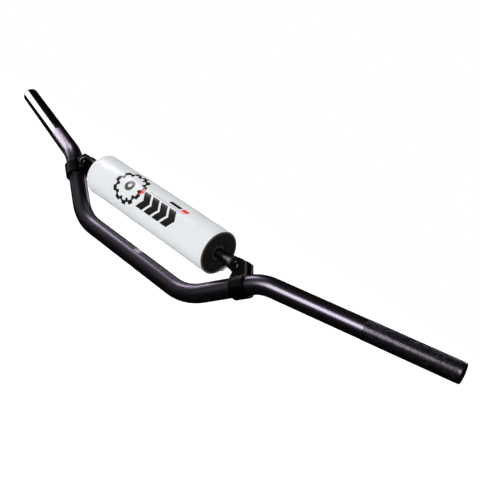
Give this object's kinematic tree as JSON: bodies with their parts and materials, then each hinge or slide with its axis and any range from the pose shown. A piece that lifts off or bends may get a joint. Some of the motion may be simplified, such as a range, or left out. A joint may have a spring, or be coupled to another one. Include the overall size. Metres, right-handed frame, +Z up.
{
  "type": "motocross handlebar",
  "caption": "Bent tube motocross handlebar with a clamped crossbar and a round roll pad.",
  "frame": {"origin": "middle of the straight centre section where the stem clamps hold it, on the tube's axis", "axes": "+X along the bar toward the rider's left, -Y toward the front of the motorcycle, +Z up; risers and crossbar lie in the XZ plane, grips sweep toward +Y"},
  "size_m": [0.812, 0.0876, 0.1149],
  "materials": {
    "anodised_tube": "satin",
    "anodised_crossbar": "satin",
    "anodised_clamp": "satin",
    "black_bolt": "satin",
    "zinc_steel": "satin",
    "nylon": "matte",
    "foam": "matte",
    "white_vinyl": "satin",
    "black_fabric": "matte",
    "closure_fabric": "matte"
  },
  "bodies": {
    "bar": {"handlebar_tube": "anodised_tube", "crossbar": "anodised_crossbar", "clamp_left": "anodised_clamp", "clamp_right": "anodised_clamp", "clamp_bolt_left": "black_bolt", "clamp_bolt_right": "black_bolt", "washer_left": "zinc_steel", "washer_right": "zinc_steel", "lock_nut_left": "zinc_steel", "lock_nut_right": "zinc_steel", "nut_insert_left": "nylon", "nut_insert_right": "nylon"},
    "pad": {"pad_foam": "foam", "pad_cover": "white_vinyl", "pad_end_left": "black_fabric", "pad_end_right": "black_fabric", "binding_left": "black_fabric", "binding_right": "black_fabric", "loop_strip": "closure_fabric", "hook_strip": "closure_fabric"}
  },
  "joints": [
    {"name": "pad_turn", "type": "hinge", "parent": "bar", "child": "pad", "pos_m": [0, 0, 0.0608], "axis": [1, 0, 0], "continuous": true}
  ]
}
